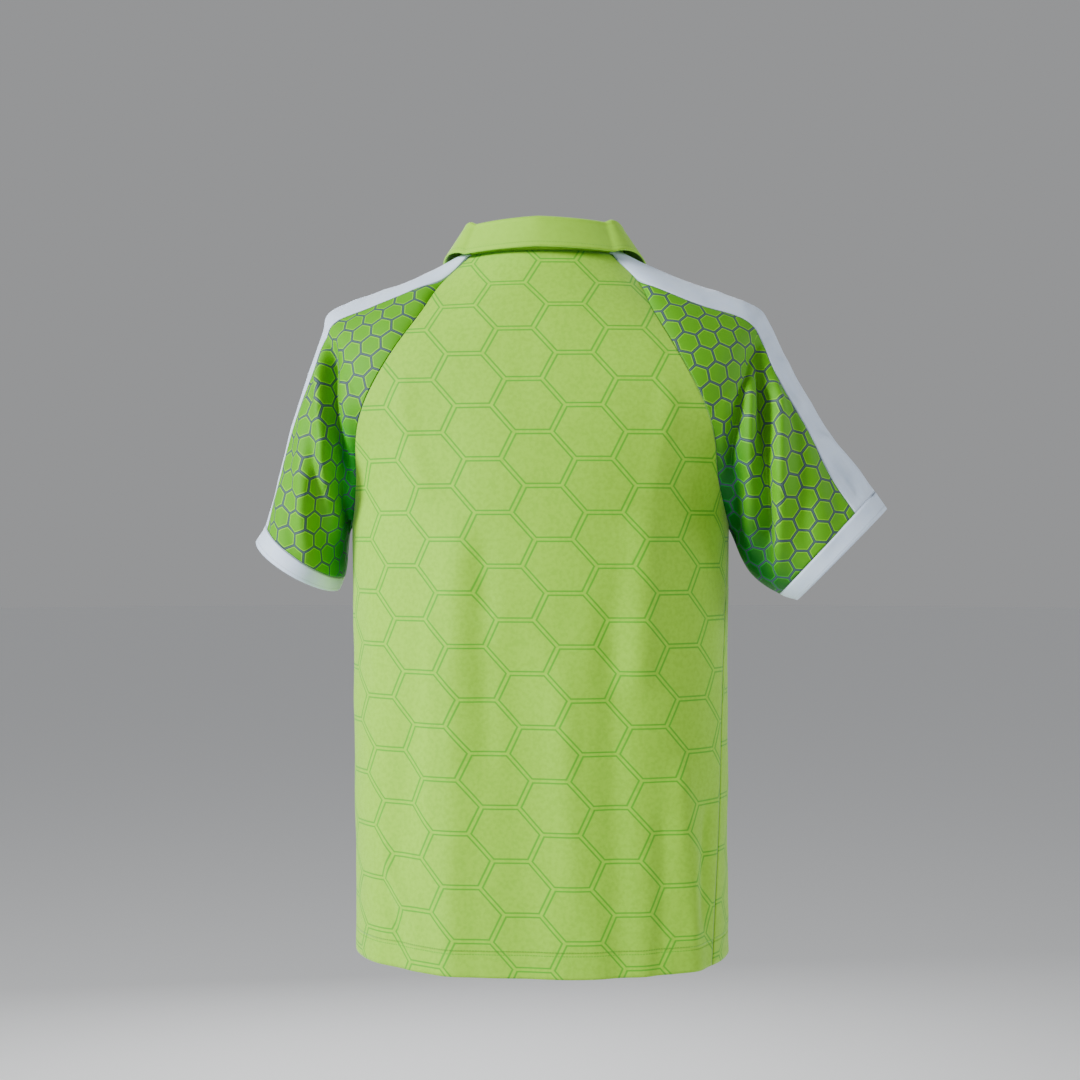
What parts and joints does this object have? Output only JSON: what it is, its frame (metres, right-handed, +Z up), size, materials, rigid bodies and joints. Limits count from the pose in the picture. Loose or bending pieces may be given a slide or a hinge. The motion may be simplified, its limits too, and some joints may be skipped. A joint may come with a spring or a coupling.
{
  "type": "football jersey",
  "caption": "Short-sleeved football jersey with fold-down collar, raglan sleeves, shoulder stripes and cuffs, worn and hollow, open at neck, hem and cuffs.",
  "frame": {"origin": "middle of the neck at the height of the back neckline, where the wearer's neck and shoulders hold the jersey up", "axes": "+Z up, +X towards the wearer's left, -Y out of the front"},
  "size_m": [0.6259, 0.2475, 0.7221],
  "materials": {
    "body_knit": "soft",
    "sleeve_knit": "soft",
    "white_knit": "soft",
    "collar_knit": "soft"
  },
  "bodies": {
    "root": {"back": "body_knit", "front": "body_knit", "sleeve_back_left": "sleeve_knit", "shoulder_stripe_left": "white_knit", "sleeve_front_left": "sleeve_knit", "cuff_left": "white_knit", "sleeve_back_right": "sleeve_knit", "shoulder_stripe_right": "white_knit", "sleeve_front_right": "sleeve_knit", "cuff_right": "white_knit", "collar": "collar_knit"}
  },
  "joints": []
}
